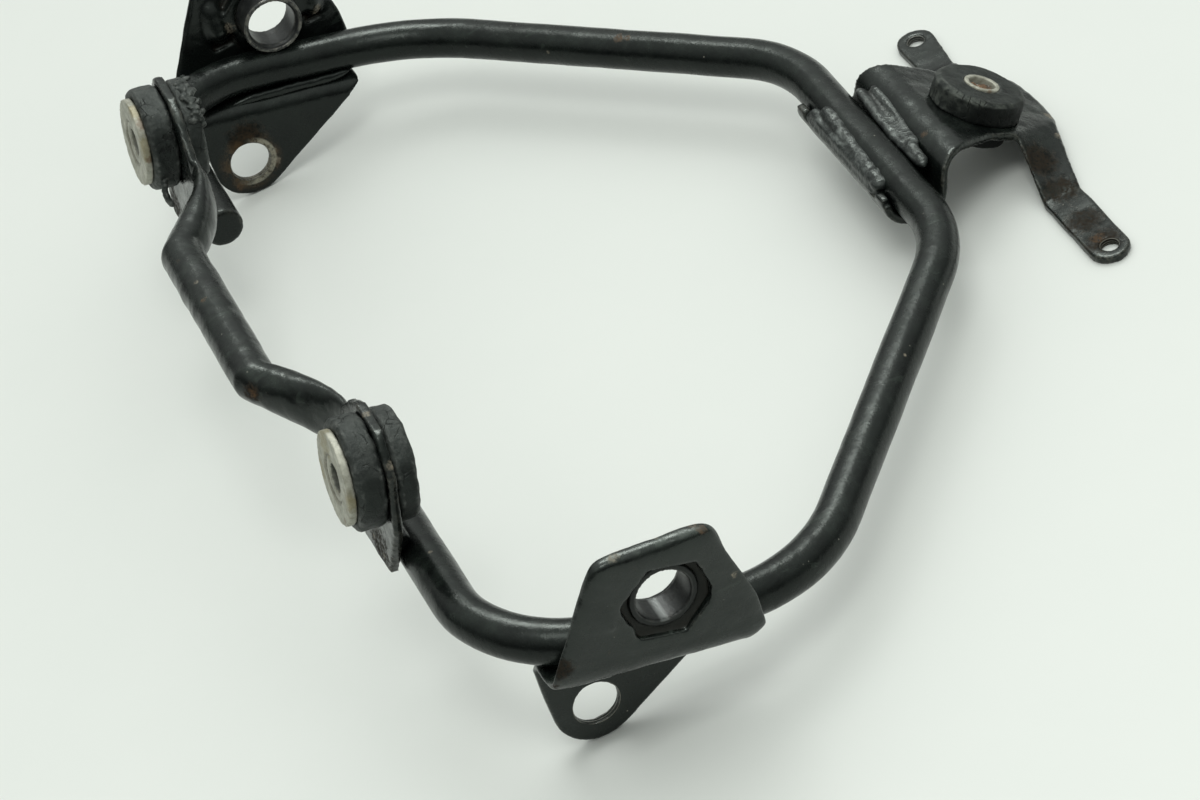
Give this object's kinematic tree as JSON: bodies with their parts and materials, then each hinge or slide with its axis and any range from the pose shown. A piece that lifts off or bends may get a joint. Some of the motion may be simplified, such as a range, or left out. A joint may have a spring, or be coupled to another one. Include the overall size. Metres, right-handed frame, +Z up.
{
  "type": "headlight mounting bracket",
  "caption": "Bent round-bar headlight bracket for a motorcycle with folded side plates, rubber-mounted collars at the back and a rubber-mounted plate with bent arms at the front.",
  "frame": {"origin": "centre of the bounding box in plan, on the surface that the feet and pads rest on", "axes": "+X to the right side plate, +Y towards the front rubber, +Z up"},
  "size_m": [0.2752, 0.2042, 0.0687],
  "materials": {
    "black_paint": "worn semi-gloss black",
    "worn_black_paint": "worn dusty black with rust",
    "weld_paint": "painted over, dusty",
    "bush_steel": "dull, grimy",
    "zinc": "stained zinc plate",
    "rubber": "aged, cracked"
  },
  "bodies": {
    "root": {"loop_bar": "black_paint", "cross_bar": "black_paint", "right_side_plate": "black_paint", "left_side_plate": "black_paint", "front_lug": "worn_black_paint", "rear_lug_weld": "weld_paint", "front_lug_weld": "weld_paint", "right_end_weld": "weld_paint", "left_end_weld": "weld_paint", "right_plate_weld": "weld_paint", "left_plate_weld": "weld_paint", "right_bush": "bush_steel", "left_bush": "bush_steel", "right_grommet": "rubber", "left_grommet": "rubber", "front_rubber": "rubber", "right_collar": "zinc", "left_collar": "zinc", "front_sleeve": "zinc"}
  },
  "joints": []
}
